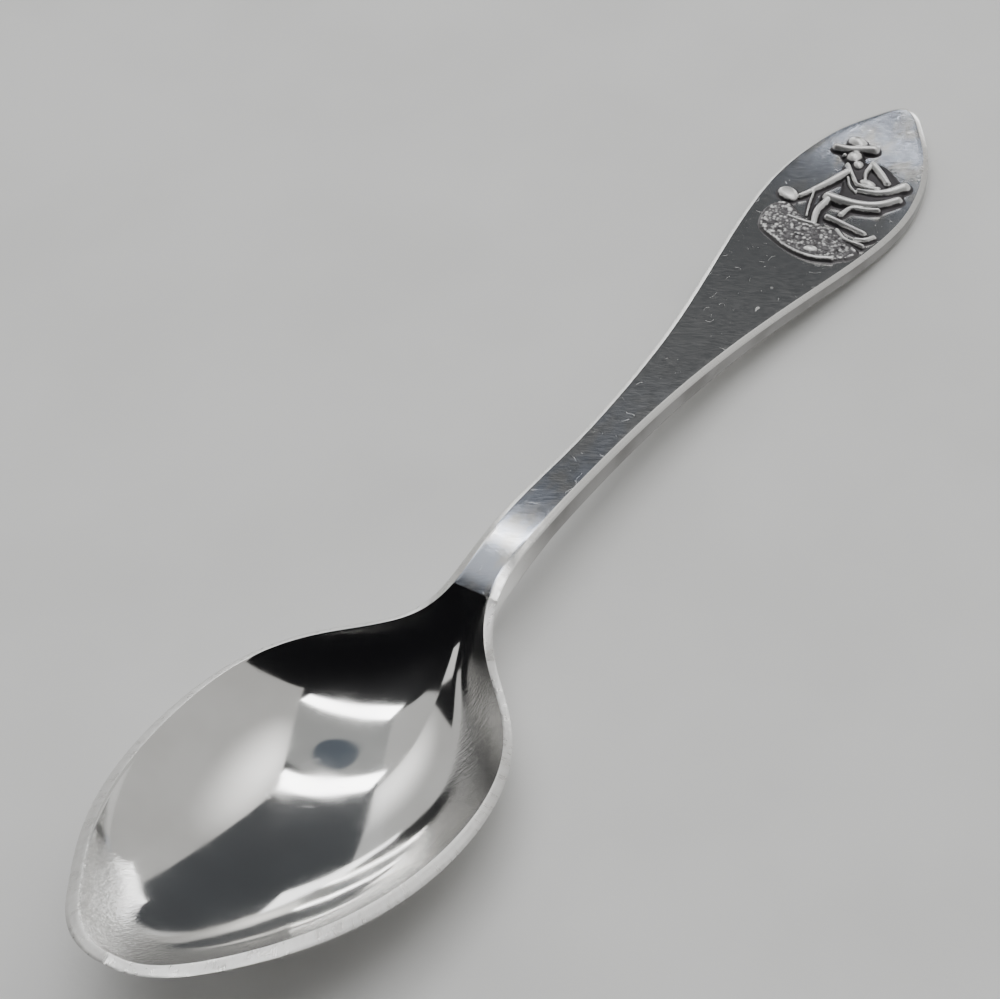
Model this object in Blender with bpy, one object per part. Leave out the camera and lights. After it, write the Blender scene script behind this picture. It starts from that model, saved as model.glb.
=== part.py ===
"""Souvenir spoon: an egg-shaped bowl, a flat handle that widens to a pointed oval end, and a
generic gold panner in low relief on that end.

+X runs from the bowl to the handle's end and +Z is up. The spoon lies on z = 0, on the flat under
its bowl (the origin) and on the back of the handle's end. Sizes are in millimetres until a point
goes into a mesh.
"""
import math

import bmesh
import bpy
import numpy as np

MM = 0.001

# The outer top edge of one side, from the bowl's tip to the handle's end: x, half width, height
EDGE_POINTS = (
    (-31.5, 0.0, 12.55), (-30.4, 3.7, 12.1), (-27.15, 6.75, 11.05), (-21.8, 10.1, 9.65),
    (-15.4, 12.3, 8.2), (-8.1, 12.9, 6.85), (-0.2, 11.05, 5.85), (3.8, 8.2, 5.4),
    (6.9, 5.1, 5.15), (9.1, 3.3, 5.45), (11.2, 2.32, 6.35), (13.6, 1.98, 7.1),
    (17.6, 1.95, 7.42), (26.6, 1.85, 6.48), (35.8, 2.14, 5.35), (45.8, 3.2, 4.1),
    (55.7, 5.0, 2.85), (63.1, 6.28, 1.9), (67.6, 6.56, 1.55), (71.8, 5.95, 1.52),
    (75.9, 4.2, 1.8), (78.7, 2.1, 2.03), (80.2, 0.0, 2.15),
)

# Bowl
RIM_WIDTH_POINTS = ((-14.4, 1.15), (3.6, 0.8))   # x, width of the flat-ground rim
RIM_RISE = 0.42            # how far the rim's inner edge stands above its outer edge
SPLIT_X = 12.8             # where the bowl's neck meets the handle
HOLLOW_END_X = 11.4        # where the hollow stops below the neck
HOLLOW_DEPTH = 6.0
OUTER_DEPTH = 6.37
WALL_ANGLE = math.radians(76)
OUTER_END_X = 16.2         # where the bowl's outer form would close inside the stem
SIDE_STEPS = 30            # points along one side of the rim
RINGS = 8
FLAT_RING = 0.35           # one more ring, inside the flat that the bowl rests on

# Handle
JOINT_GAP = 0.3
BEVEL_WIDTH = 0.32
BEVEL_DROP = 0.25
EDGE_ROUND = 0.45
STATIONS = 56
THICKNESS_POINTS = ((10.6, 3.1), (19.6, 2.3), (29.6, 2.05), (47.6, 1.8), (67.6, 1.86), (80.2, 1.65))

# Relief on the handle's end
RELIEF_GAP = 0.1           # between the relief's base and the handle's front
PAN_CENTRE = (65.9, 3.65)
PAN_SIZE = (1.25, 1.0)
PAN_RIM = 0.62
STONE_COUNT = 15
STONE_SIZE = 0.62


def clear_scene():
    for old in list(bpy.data.objects):
        bpy.data.objects.remove(old, do_unlink=True)


def spline(points, start, end, count):
    """A cubic curve through the points, with the given end directions, as count even samples."""
    points = np.array(points, dtype=float)
    knots = np.concatenate([[0.0], np.cumsum(np.linalg.norm(np.diff(points, axis=0), axis=1))])
    step = np.diff(knots)
    slope = np.diff(points, axis=0) / step[:, None]
    size = len(points)
    system = np.eye(size)
    right = np.zeros_like(points)
    right[0] = start
    right[-1] = end
    for i in range(1, size - 1):
        system[i, i - 1:i + 2] = step[i], 2 * (step[i - 1] + step[i]), step[i - 1]
        right[i] = 3 * (step[i] * slope[i - 1] + step[i - 1] * slope[i])
    tangent = np.linalg.solve(system, right)
    at = np.linspace(0, knots[-1], count)
    cell = np.clip(np.searchsorted(knots, at, side="right") - 1, 0, size - 2)
    t = ((at - knots[cell]) / step[cell])[:, None]
    h = step[cell][:, None]
    return ((2 * t**3 - 3 * t**2 + 1) * points[cell] + (t**3 - 2 * t**2 + t) * h * tangent[cell]
            + (3 * t**2 - 2 * t**3) * points[cell + 1] + (t**3 - t**2) * h * tangent[cell + 1])


EDGE = spline(EDGE_POINTS, (0, 1, -0.2), (0, -1, 0), 2400)


def half_width(x):
    return np.interp(x, EDGE[:, 0], EDGE[:, 1])


def edge_height(x):
    return np.interp(x, EDGE[:, 0], EDGE[:, 2])


def front_height(x):
    """The flat front of the neck and handle, just above its bevelled edge."""
    return edge_height(x) + BEVEL_DROP


def back_height(x):
    xs, thickness = zip(*THICKNESS_POINTS)
    return np.maximum(front_height(x) - np.interp(x, xs, thickness), 0.0)


def resample(points, count):
    lengths = np.concatenate([[0.0], np.cumsum(np.linalg.norm(np.diff(points, axis=0), axis=1))])
    at = np.linspace(0, lengths[-1], count)
    return np.stack([np.interp(at, lengths, points[:, k]) for k in range(points.shape[1])], axis=1)


def rim_lines():
    """The rim's outer and inner edges on the +Y side, from the neck to the bowl's tip."""
    side = EDGE[EDGE[:, 0] <= SPLIT_X + 1.0]
    tangent = np.gradient(side[:, :2], axis=0)
    tangent /= np.linalg.norm(tangent, axis=1)[:, None]
    blend = np.clip((HOLLOW_END_X - side[:, 0]) / 5.0, 0, 1)
    width = np.interp(side[:, 0], *zip(*RIM_WIDTH_POINTS))
    inner = side.copy()
    inner[:, 0] += width * tangent[:, 1]
    inner[:, 1] -= width * tangent[:, 0]
    inner[:, 2] += BEVEL_DROP + (RIM_RISE - BEVEL_DROP) * blend
    inner = inner[inner[:, 0] <= HOLLOW_END_X]
    outer = side[side[:, 0] <= SPLIT_X]
    return resample(outer, SIDE_STEPS)[::-1], resample(inner, SIDE_STEPS)[::-1], inner


def whole_loop(side, neck_height):
    """Close one side's line into a loop: neck middle, +Y side, tip, -Y side."""
    neck_x, neck_y = side[0, 0], side[0, 1]
    across = [(neck_x, 0.0, neck_height), (neck_x, neck_y / 2, neck_height)]
    side = [tuple(point) for point in side]
    side[-1] = (side[-1][0], 0.0, side[-1][2])
    half = across + side
    mirrored = [(x, -y, z) for x, y, z in reversed(half[1:-1])]
    return np.array(half + mirrored)


def cap(share):
    """1 in the middle of a bowl section, 0 at its edge, with the wall's angle at the edge."""
    lean = math.sin(WALL_ANGLE)
    base = math.cos(WALL_ANGLE)
    return (np.sqrt(1 - (np.minimum(share, 1) * lean) ** 2) - base) / (1 - base)


def bowl_height(x, y, rim_x, rim_y, rim_z, end_x, depth):
    """Height of a bowl surface whose rim line is given and whose long section ends at end_x."""
    middle = (end_x + rim_x[0]) / 2
    along = np.clip((x - middle) / (end_x - middle), -1, 1)
    width = np.interp(x, rim_x, rim_y)
    across = np.clip(np.abs(y) / np.maximum(width, 1e-6), 0, 1)
    share = np.sqrt(1 - (1 - along**2) * (1 - across**2))
    return np.interp(x, rim_x, rim_z) - depth * cap(share)


def ring_points(loop, height):
    """Rings from the loop towards the origin, each lifted to the surface, and the middle point."""
    rings = []
    for k in [*range(RINGS - 1, 0, -1), FLAT_RING]:
        share = math.sin(k / RINGS * WALL_ANGLE) / math.sin(WALL_ANGLE)
        rings.append([(x * share, y * share, float(height(x * share, y * share))) for x, y, _ in loop])
    return rings, (0.0, 0.0, float(height(0.0, 0.0)))


def add_loop(mesh, points):
    return [mesh.verts.new((x * MM, y * MM, z * MM)) for x, y, z in points]


def join_loops(mesh, first, second):
    count = len(first)
    for i in range(count):
        j = (i + 1) % count
        corners = [first[i], first[j], second[j], second[i]]
        corners = [v for n, v in enumerate(corners) if v not in corners[:n]]
        if len(corners) > 2:
            mesh.faces.new(corners)


def close_to_point(mesh, loop, point):
    tip = mesh.verts.new([c * MM for c in point])
    for i, vert in enumerate(loop):
        mesh.faces.new((vert, loop[(i + 1) % len(loop)], tip))


def finish_mesh(mesh, name, material):
    bmesh.ops.recalc_face_normals(mesh, faces=mesh.faces)
    bmesh.ops.triangulate(mesh, faces=mesh.faces)
    data = bpy.data.meshes.new(name)
    mesh.to_mesh(data)
    mesh.free()
    data.shade_smooth()
    data.set_sharp_from_angle(angle=math.radians(35))
    made = bpy.data.objects.new(name, data)
    made.data.materials.append(material)
    bpy.context.scene.collection.objects.link(made)
    return made


def silver(name, colour, roughness):
    material = bpy.data.materials.new(name)
    material.use_nodes = True
    shader = material.node_tree.nodes["Principled BSDF"]
    shader.inputs["Base Color"].default_value = (*colour, 1)
    shader.inputs["Metallic"].default_value = 1.0
    shader.inputs["Roughness"].default_value = roughness
    return material


def build_bowl(material):
    outer_side, inner_side, inner_line = rim_lines()
    outer = whole_loop(outer_side, float(front_height(SPLIT_X)))
    inner = whole_loop(inner_side, float(inner_side[0, 2]))

    def hollow(x, y):
        return bowl_height(x, y, *inner_line.T, HOLLOW_END_X, HOLLOW_DEPTH)

    def underside(x, y):
        return np.maximum(bowl_height(x, y, *EDGE.T, OUTER_END_X, OUTER_DEPTH), 0.0)

    mesh = bmesh.new()
    top = add_loop(mesh, outer)
    hollow_rim = add_loop(mesh, inner)
    join_loops(mesh, top, hollow_rim)

    rings, middle = ring_points(inner, hollow)
    last = hollow_rim
    for ring in rings:
        loop = add_loop(mesh, ring)
        join_loops(mesh, last, loop)
        last = loop
    close_to_point(mesh, last, middle)

    last = list(top)
    for i in (-1, 0, 1):
        x, y, _ = outer[i]
        last[i] = mesh.verts.new((x * MM, y * MM, float(underside(x, y)) * MM))
    join_loops(mesh, top, last)
    rings, middle = ring_points(outer, underside)
    for ring in rings:
        loop = add_loop(mesh, ring)
        join_loops(mesh, last, loop)
        last = loop
    close_to_point(mesh, last, middle)
    return finish_mesh(mesh, "bowl", material)


def handle_section(x, width):
    front = float(front_height(x))
    back = float(back_height(x))
    bevel = min(BEVEL_WIDTH, 0.4 * width)
    tuck = min(EDGE_ROUND, 0.4 * width)
    half = [(width - bevel, front), (width, front - BEVEL_DROP), (width, back + EDGE_ROUND),
            (width - tuck, back)]
    mirrored = [(-y, z) for y, z in reversed(half)]
    return [(x, y, z) for y, z in half + mirrored]


def build_handle(material):
    line = EDGE[(EDGE[:, 0] >= SPLIT_X + JOINT_GAP) & (EDGE[:, 1] > 0.3)]
    stations = resample(line, STATIONS)
    mesh = bmesh.new()
    loops = [add_loop(mesh, handle_section(x, width)) for x, width, _ in stations]
    for first, second in zip(loops, loops[1:]):
        join_loops(mesh, first, second)
    mesh.faces.new(loops[0])
    mesh.faces.new(loops[-1])
    return finish_mesh(mesh, "handle", material)


def ellipsoid(centre, size, turn=0.0, lift=0.0):
    """A helper solid on the handle's front: centre (x, y), half sizes, turned about Z."""
    bpy.ops.mesh.primitive_uv_sphere_add(segments=16, ring_count=8, radius=MM)
    made = bpy.context.object
    made.scale = size
    made.rotation_euler = (0, 0, math.radians(turn))
    height = float(front_height(centre[0])) + lift
    made.location = (centre[0] * MM, centre[1] * MM, height * MM)
    bpy.context.view_layer.update()
    made.data.transform(made.matrix_world)
    made.matrix_world.identity()
    return made


def limb(start, end, width, height):
    """A helper solid along a line between two points on the handle's front."""
    run = (end[0] - start[0], end[1] - start[1])
    centre = ((start[0] + end[0]) / 2, (start[1] + end[1]) / 2)
    size = (math.hypot(*run) / 2 + width * 0.6, width, height)
    return ellipsoid(centre, size, math.degrees(math.atan2(run[1], run[0])))


def combine(base, other, operation):
    step = base.modifiers.new(operation.lower(), "BOOLEAN")
    step.operation = operation
    step.solver = "EXACT"
    step.object = other
    depsgraph = bpy.context.evaluated_depsgraph_get()
    data = bpy.data.meshes.new_from_object(base.evaluated_get(depsgraph))
    base.modifiers.clear()
    base.data = data
    bpy.data.objects.remove(other, do_unlink=True)


def space_above_front():
    """A solid that fills the space over the handle's front, RELIEF_GAP above it."""
    mesh = bmesh.new()
    loops = []
    for x in np.linspace(56, 78, 23):
        low = float(front_height(x)) + RELIEF_GAP
        width = float(half_width(x)) - BEVEL_WIDTH - 0.1
        loops.append(add_loop(mesh, [(x, -width, low), (x, width, low), (x, width, 8), (x, -width, 8)]))
    for first, second in zip(loops, loops[1:]):
        join_loops(mesh, first, second)
    mesh.faces.new(loops[0])
    mesh.faces.new(loops[-1])
    bmesh.ops.recalc_face_normals(mesh, faces=mesh.faces)
    data = bpy.data.meshes.new("space")
    mesh.to_mesh(data)
    mesh.free()
    made = bpy.data.objects.new("space", data)
    bpy.context.scene.collection.objects.link(made)
    return made


def fuse(pieces, name, material):
    base = pieces[0]
    for other in pieces[1:]:
        combine(base, other, "UNION")
    combine(base, space_above_front(), "INTERSECT")
    base.name = name
    base.data.name = name
    base.data.materials.clear()
    base.data.materials.append(material)
    base.data.shade_smooth()
    base.data.set_sharp_from_angle(angle=math.radians(35))
    return base


def build_panner(material):
    """A squatting figure in profile, head towards the handle's end, arms out towards +Y."""
    pieces = [
        limb((69.2, -2.9), (71.5, -1.2), 1.75, 1.35),        # trunk
        limb((67.8, -4.0), (68.6, -2.6), 1.45, 1.25),        # seat
        limb((68.2, -3.9), (67.7, 0.3), 1.05, 1.3),          # thigh
        limb((67.5, 0.2), (64.2, -0.3), 0.85, 1.0),          # shin
        limb((63.9, -0.4), (63.7, 1.4), 0.6, 0.7),           # foot
        limb((68.2, -3.2), (64.6, -4.1), 0.95, 1.0),         # other foot
        limb((71.2, -0.4), (69.2, 1.2), 0.72, 1.25),         # upper arm
        limb((69.2, 1.2), (67.7, 2.0), 0.58, 1.05),          # forearm
        limb((71.4, -0.8), (72.4, 0.8), 0.8, 1.0),           # neck
        ellipsoid((72.5, 1.0), (1.05, 0.95, 1.25)),          # head
        ellipsoid((73.7, 1.6), (0.5, 1.75, 0.95), 20),       # hat brim
        ellipsoid((74.3, 1.6), (0.95, 0.95, 1.2), 20),       # hat crown
    ]
    return fuse(pieces, "relief_panner", material)


def build_pan(material):
    """An oval gold pan seen from above, its hollow facing the viewer."""
    pan = ellipsoid(PAN_CENTRE, (*PAN_SIZE, PAN_RIM), 30)
    hollow = ellipsoid(PAN_CENTRE, (PAN_SIZE[0] * 0.7, PAN_SIZE[1] * 0.7, 0.3), 30, lift=PAN_RIM)
    combine(pan, hollow, "DIFFERENCE")
    return fuse([pan], "relief_pan", material)


def build_gravel(material):
    """A bank of gravel below the feet, as a low mound with larger stones on it."""
    pieces = [ellipsoid((60.9, -0.4), (1.75, 4.7, 0.7), -4)]
    for i in range(STONE_COUNT):
        share = i / (STONE_COUNT - 1)
        y = -4.3 + 7.9 * share
        x = 60.9 + 0.8 * math.sin(5.2 * i) - 0.25 * y * share
        size = STONE_SIZE * (0.8 + 0.25 * math.sin(2.7 * i))
        pieces.append(ellipsoid((x, y), (size, size * 1.2, size * 1.25), 40 * i, lift=0.25))
    return fuse(pieces, "relief_gravel", material)


def main():
    clear_scene()
    build_bowl(silver("polished_silver_bowl", (0.93, 0.92, 0.9), 0.06))
    build_handle(silver("polished_silver_handle", (0.92, 0.91, 0.89), 0.1))
    build_panner(silver("satin_silver_panner", (0.86, 0.85, 0.82), 0.28))
    build_pan(silver("satin_silver_pan", (0.88, 0.87, 0.84), 0.22))
    build_gravel(silver("satin_silver_gravel", (0.82, 0.81, 0.78), 0.34))


main()
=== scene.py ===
"""Looks of the souvenir spoon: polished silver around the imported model, in metres.

Lengths of the spoon are millimetres in the model's own frame: +X from the bowl to the handle's
end, +Z up, origin at the middle of the flat that the bowl rests on. The floor and the light tent
are in metres.
"""

import math

import bmesh
import bpy
import numpy as np
from mathutils import Matrix, Vector


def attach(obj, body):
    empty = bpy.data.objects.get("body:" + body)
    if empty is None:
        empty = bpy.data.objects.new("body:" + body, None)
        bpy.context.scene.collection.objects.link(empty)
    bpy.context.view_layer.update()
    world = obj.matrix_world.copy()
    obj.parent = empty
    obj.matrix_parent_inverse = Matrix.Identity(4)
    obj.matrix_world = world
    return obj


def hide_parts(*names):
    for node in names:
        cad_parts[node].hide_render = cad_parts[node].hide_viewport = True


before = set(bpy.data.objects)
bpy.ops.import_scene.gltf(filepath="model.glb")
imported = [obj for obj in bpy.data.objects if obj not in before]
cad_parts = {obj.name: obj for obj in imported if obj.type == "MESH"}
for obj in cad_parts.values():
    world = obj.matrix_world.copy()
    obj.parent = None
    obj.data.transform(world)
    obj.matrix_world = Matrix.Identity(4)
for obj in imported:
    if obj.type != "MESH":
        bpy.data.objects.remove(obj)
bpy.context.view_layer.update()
MM = 0.001

# ---------------------------------------------------------------- driving dimensions
# Outer top edge of one side: x, half width, height
EDGE_POINTS = (
    (-31.5, 0.0, 12.55), (-30.4, 3.7, 12.1), (-27.15, 6.75, 11.05), (-21.8, 10.1, 9.65),
    (-15.4, 12.3, 8.2), (-8.1, 12.9, 6.85), (-0.2, 11.05, 5.85), (3.8, 8.2, 5.4),
    (6.9, 5.1, 5.15), (9.1, 3.3, 5.45), (11.2, 2.32, 6.35), (13.6, 1.98, 7.1),
    (17.6, 1.95, 7.42), (26.6, 1.85, 6.48), (35.8, 2.14, 5.35), (45.8, 3.2, 4.1),
    (55.7, 5.0, 2.85), (63.1, 6.28, 1.9), (67.6, 6.56, 1.55), (71.8, 5.95, 1.52),
    (75.9, 4.2, 1.8), (78.7, 2.1, 2.03), (80.2, 0.0, 2.15),
)
HOLLOW_END_X = 11.4
HOLLOW_DEPTH = 6.0
OUTER_END_X = 16.2
OUTER_DEPTH = 6.37
HOLLOW_WALL_ANGLE = math.radians(64)
OUTER_WALL_ANGLE = math.radians(76)
# Width and rise of the ground band along the edge: the bowl's rim, then the handle's bevel
BAND_WIDTH_POINTS = (
    (-14.4, 0.9), (3.6, 0.62), (11.4, 0.66), (18.0, 0.52), (40.0, 0.47), (60.0, 0.42), (80.2, 0.42),
)
BAND_RISE_POINTS = (
    (-31.5, 0.04), (-29.0, 0.2), (-20.0, 0.4), (6.4, 0.4), (11.4, 0.25), (20.0, 0.29),
    (60.0, 0.25), (80.2, 0.24),
)
THICKNESS_POINTS = (
    (10.6, 3.1), (19.6, 2.3), (29.6, 2.05), (47.6, 1.8), (67.6, 1.86), (80.2, 1.65),
)
BAR_SQUARENESS = 7.0       # how square the handle's back corners are
STEM_BLEND = (8.5, 15.0)   # where the bowl's round underside turns into the bar
SOFT_EDGE = 0.07           # rounding of the ground edges
EDGE_STEPS = 420
RINGS = 60                 # of the hollow, from its edge to its middle
CUSP_STEPS = 6             # across half of the hollow's blunt end
FRONT_STEPS = 13           # across the handle's front
ACROSS = 28                # across half of the underside
BAND_ROWS = (0, 0.35, 0.7, 1)
UNDER_RISE = -0.42         # the underside's sweep against the hollow's
BOWL_MIDDLE_X = -8.0
TRIM = 0.9995              # keeps the finer curves inside the coarser model's box


# ---------------------------------------------------------------- curves
def spline(points, start, end, count):
    """A cubic curve through the points, with the given end directions, as count even samples."""
    points = np.array(points, dtype=float)
    knots = np.concatenate([[0.0], np.cumsum(np.linalg.norm(np.diff(points, axis=0), axis=1))])
    step = np.diff(knots)
    slope = np.diff(points, axis=0) / step[:, None]
    size = len(points)
    system = np.eye(size)
    right = np.zeros_like(points)
    right[0] = start
    right[-1] = end
    for i in range(1, size - 1):
        system[i, i - 1:i + 2] = step[i], 2 * (step[i - 1] + step[i]), step[i - 1]
        right[i] = 3 * (step[i] * slope[i - 1] + step[i - 1] * slope[i])
    tangent = np.linalg.solve(system, right)
    at = np.linspace(0, knots[-1], count)
    cell = np.clip(np.searchsorted(knots, at, side="right") - 1, 0, size - 2)
    t = ((at - knots[cell]) / step[cell])[:, None]
    h = step[cell][:, None]
    return ((2 * t**3 - 3 * t**2 + 1) * points[cell] + (t**3 - 2 * t**2 + t) * h * tangent[cell]
            + (3 * t**2 - 2 * t**3) * points[cell + 1] + (t**3 - t**2) * h * tangent[cell + 1])


def lengths_along(points):
    return np.concatenate([[0.0], np.cumsum(np.linalg.norm(np.diff(points, axis=0), axis=1))])


def resample(points, count):
    lengths = lengths_along(points)
    at = np.linspace(0, lengths[-1], count)
    return np.stack([np.interp(at, lengths, points[:, k]) for k in range(points.shape[1])], axis=1)


def smooth_between(x, points):
    """Values between the given (x, value) points, eased so that no kink shows in the polish."""
    xs, values = (np.array(column, dtype=float) for column in zip(*points))
    x = np.clip(np.asarray(x, dtype=float), xs[0], xs[-1])
    cell = np.clip(np.searchsorted(xs, x, side="right") - 1, 0, len(xs) - 2)
    t = (x - xs[cell]) / (xs[cell + 1] - xs[cell])
    return values[cell] + (values[cell + 1] - values[cell]) * t * t * (3 - 2 * t)


def smooth_step(x, low, high):
    t = np.clip((x - low) / (high - low), 0, 1)
    return t * t * (3 - 2 * t)


EDGE = TRIM * spline(EDGE_POINTS, (0, 1, -0.2), (0, -1, 0), 6000)
EDGE_TANGENT = np.gradient(EDGE[:, :2], axis=0)
EDGE_TANGENT /= np.linalg.norm(EDGE_TANGENT, axis=1)[:, None]


def half_width(x):
    return np.interp(x, EDGE[:, 0], EDGE[:, 1])


def edge_height(x):
    return np.interp(x, EDGE[:, 0], EDGE[:, 2])


def front_height(x):
    return edge_height(x) + smooth_between(x, BAND_RISE_POINTS)


def back_height(x):
    xs, thickness = zip(*THICKNESS_POINTS)
    return np.maximum(front_height(x) - np.interp(x, xs, thickness), 0.0)


def inner_line():
    """The band's inner edge, from the bowl's tip to the handle's tip, with its height."""
    width = smooth_between(EDGE[:, 0], BAND_WIDTH_POINTS)
    rise = smooth_between(EDGE[:, 0], BAND_RISE_POINTS)
    line = EDGE.copy()
    line[:, 0] += width * EDGE_TANGENT[:, 1]
    line[:, 1] -= width * EDGE_TANGENT[:, 0]
    line[:, 2] += rise
    return line


INNER = inner_line()
CUSP = int(np.argmax(INNER[:, 0] >= HOLLOW_END_X))


# ---------------------------------------------------------------- surfaces
def cap(share, wall_angle):
    lean = math.sin(wall_angle)
    base = math.cos(wall_angle)
    return (np.sqrt(1 - (np.minimum(share, 1) * lean) ** 2) - base) / (1 - base)


def rim_trend(x):
    """The long smooth sweep of the rim, without its lift at the neck."""
    return 12.9 - 0.2406 * (x + 31.5) + 0.00324 * (x + 31.5) * (x + 8.1)


def bowl_height(x, y, line, end_x, depth, rise, wall_angle):
    """A bowl surface under the given rim line. Its middle follows the rim's long sweep."""
    start_x = line[0, 0]
    middle = (end_x + start_x) / 2
    along = np.clip((x - middle) / (end_x - middle), -1, 1)
    width = np.interp(x, line[:, 0], line[:, 1])
    across = np.clip(np.abs(y) / np.maximum(width, 1e-6), 0, 1)
    share = np.sqrt(np.clip(1 - (1 - along**2) * (1 - across**2), 0, 1))
    rim = np.interp(x, line[:, 0], line[:, 2])
    sweep = rim_trend(x) + rise
    return sweep + (rim - sweep) * share**6 - depth * cap(share, wall_angle)


def hollow_height(x, y):
    return bowl_height(x, y, INNER[:CUSP + 1], HOLLOW_END_X, HOLLOW_DEPTH, 0.0, HOLLOW_WALL_ANGLE)


def under_height(x, y):
    """The underside of bowl, neck and handle."""
    width = half_width(x)
    bowl = bowl_height(x, y, EDGE, OUTER_END_X, OUTER_DEPTH, UNDER_RISE, OUTER_WALL_ANGLE)
    bowl = np.maximum(bowl, 0.0)
    across = np.clip(np.abs(y) / np.maximum(width, 1e-6), 0, 1)
    edge = edge_height(x)
    bar = edge - (edge - back_height(x)) * (1 - across**BAR_SQUARENESS) ** (1 / BAR_SQUARENESS)
    share = smooth_step(x, *STEM_BLEND)
    return bowl + (bar - bowl) * share


# ---------------------------------------------------------------- the silver skin
def grid_rows(rows):
    """Vertices and faces of a strip of rows that all have the same number of points."""
    verts = [tuple(point) for row in rows for point in row]
    width = len(rows[0])
    faces = []
    for i in range(len(rows) - 1):
        for k in range(width - 1):
            a = i * width + k
            faces.append((a, a + 1, a + width + 1, a + width))
    return verts, faces


class Skin:
    """Collects patches of the surface, each with its own zone number."""

    def __init__(self):
        self.verts = []
        self.faces = []
        self.zones = []

    def add(self, verts, faces, zone):
        base = len(self.verts)
        self.verts += verts
        self.faces += [tuple(base + i for i in face) for face in faces]
        self.zones += [zone] * len(faces)

    def mesh(self, name):
        data = bpy.data.meshes.new(name)
        data.from_pydata([(x * MM, y * MM, z * MM) for x, y, z in self.verts], [], self.faces)
        data.polygons.foreach_set("material_index", self.zones)
        return data


HOLLOW, BOWL_BAND, BOWL_OUTSIDE, FRONT, HANDLE_BAND, HANDLE_OUTSIDE = range(6)


def edge_samples():
    """Matching points of the outer and inner edge, with one pair exactly at the cusp."""
    lengths = lengths_along(EDGE)
    share = lengths[CUSP] / lengths[-1]
    first = int(EDGE_STEPS * share)
    at = np.concatenate([np.linspace(0, lengths[CUSP], first, endpoint=False),
                         np.linspace(lengths[CUSP], lengths[-1], EDGE_STEPS - first)])
    pick = [np.stack([np.interp(at, lengths, line[:, k]) for k in range(3)], axis=1)
            for line in (EDGE, INNER)]
    pick[0][-1, 1] = 0
    pick[1][-1, 1] = 0
    pick[0][0, 1] = 0
    pick[1][0, 1] = 0
    return pick[0], pick[1], first


def add_band(skin, outer, inner, cusp):
    for zone, part in ((BOWL_BAND, slice(0, cusp + 1)), (HANDLE_BAND, slice(cusp, None))):
        for side in (1, -1):
            rows = []
            for a, b in zip(outer[part], inner[part]):
                rows.append([a + (b - a) * t for t in BAND_ROWS])
            rows = [[(p[0], p[1] * side, p[2]) for p in row] for row in rows]
            skin.add(*grid_rows(rows), zone)


def add_hollow(skin, inner, cusp):
    side = inner[:cusp + 1][::-1]
    half = [(HOLLOW_END_X, side[0, 1] * k / CUSP_STEPS, side[0, 2]) for k in range(CUSP_STEPS)]
    half += [tuple(p) for p in side]
    loop = half + [(x, -y, z) for x, y, z in reversed(half[1:-1])]
    loop = np.array(loop)
    rings = [loop]
    for k in range(RINGS - 1, 0, -1):
        share = math.sin(k / RINGS * HOLLOW_WALL_ANGLE) / math.sin(HOLLOW_WALL_ANGLE)
        x, y = loop[:, 0] * share, loop[:, 1] * share
        rings.append(np.stack([x, y, hollow_height(x, y)], axis=1))
    count = len(loop)
    verts = [tuple(p) for ring in rings for p in ring]
    faces = []
    for r in range(RINGS - 1):
        for i in range(count):
            j = (i + 1) % count
            faces.append((r * count + i, r * count + j, (r + 1) * count + j, (r + 1) * count + i))
    verts.append((0.0, 0.0, float(hollow_height(0.0, 0.0))))
    last = (RINGS - 1) * count
    faces += [(last + i, last + (i + 1) % count, len(verts) - 1) for i in range(count)]
    skin.add(verts, faces, HOLLOW)


def add_front(skin, inner, cusp):
    rows = []
    for x, y, z in inner[cusp:]:
        share = np.linspace(1, -1, FRONT_STEPS)
        rows.append([(x, y * s, z) for s in share])
    skin.add(*grid_rows(rows), FRONT)


def add_underside(skin, outer, cusp):
    turn = np.linspace(0, math.pi, 2 * ACROSS + 1)
    power = 2 / BAR_SQUARENESS
    for zone, part in ((BOWL_OUTSIDE, slice(0, cusp + 1)), (HANDLE_OUTSIDE, slice(cusp, None))):
        rows = []
        for x, w, z in outer[part]:
            square = float(smooth_step(x, HOLLOW_END_X - 6, HOLLOW_END_X + 6))
            exponent = 1 + (power - 1) * square
            y = w * np.sign(np.cos(turn)) * np.abs(np.cos(turn)) ** exponent
            height = under_height(np.full_like(y, x), y)
            height[0] = height[-1] = z
            rows.append(list(zip(np.full_like(y, x), y, height)))
        skin.add(*grid_rows(rows), zone)


def silver_mesh():
    skin = Skin()
    outer, inner, cusp = edge_samples()
    add_band(skin, outer, inner, cusp)
    add_hollow(skin, inner, cusp)
    add_front(skin, inner, cusp)
    add_underside(skin, outer, cusp)
    data = skin.mesh("silver")
    mesh = bmesh.new()
    mesh.from_mesh(data)
    bmesh.ops.remove_doubles(mesh, verts=mesh.verts, dist=2e-6)
    bmesh.ops.dissolve_degenerate(mesh, edges=mesh.edges, dist=1e-6)
    bmesh.ops.recalc_face_normals(mesh, faces=mesh.faces)
    mesh.to_mesh(data)
    mesh.free()
    return data


def link(name, data):
    made = bpy.data.objects.new(name, data)
    bpy.context.scene.collection.objects.link(made)
    return made


def soften_edges(data):
    """Rounds the ground edges a little, so that they catch light as real ones do."""
    made = link("silver", data)
    bevel = made.modifiers.new("soft_edges", "BEVEL")
    bevel.width = SOFT_EDGE * MM
    bevel.segments = 2
    bevel.limit_method = "ANGLE"
    bevel.angle_limit = math.radians(28)
    bevel.use_clamp_overlap = True
    depsgraph = bpy.context.evaluated_depsgraph_get()
    soft = bpy.data.meshes.new_from_object(made.evaluated_get(depsgraph))
    bpy.data.objects.remove(made, do_unlink=True)
    soft.shade_smooth()
    return soft


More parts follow.
